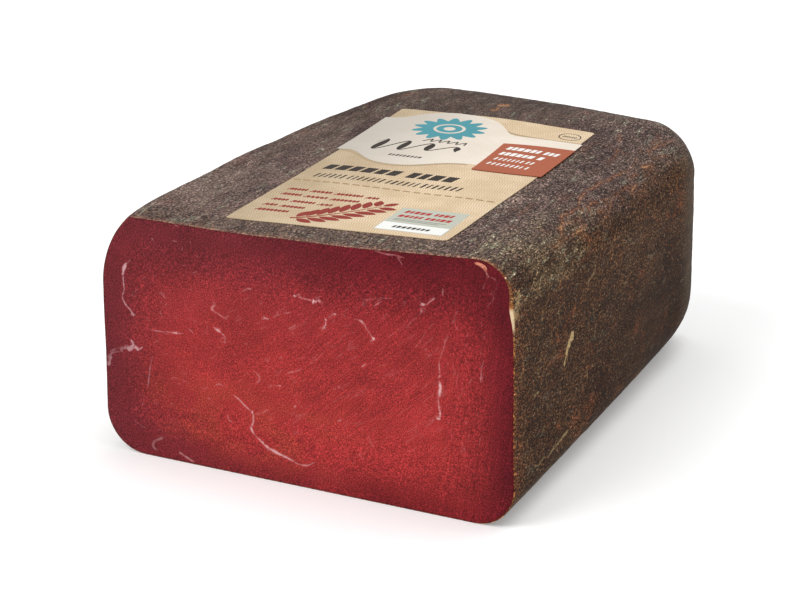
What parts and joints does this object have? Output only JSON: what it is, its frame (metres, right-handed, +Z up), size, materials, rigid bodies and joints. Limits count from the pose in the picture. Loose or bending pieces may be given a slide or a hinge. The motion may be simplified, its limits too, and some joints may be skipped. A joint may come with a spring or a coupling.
{
  "type": "air-dried beef",
  "caption": "Half of a pressed air-dried beef block: flat marbled cut face, dark mould-ripened rind all round, rounded far end, and a printed paper label on top.",
  "frame": {"origin": "middle of the footprint, on the flat underside", "axes": "+Y from the cut face along the block to its rounded end, +X to the right as seen from the cut face, +Z up"},
  "size_m": [0.118, 0.1528, 0.0701],
  "materials": {
    "beef": "dry dark grey-brown rind with a slightly moist dark red cut face",
    "kraft_paper": "matt ribbed kraft paper",
    "banner_paper": "smooth off-white paper",
    "tag_paper": "matt terracotta print"
  },
  "bodies": {
    "root": {"beef": "beef", "label_base": "kraft_paper", "label_banner": "banner_paper", "label_tag": "tag_paper"}
  },
  "joints": []
}
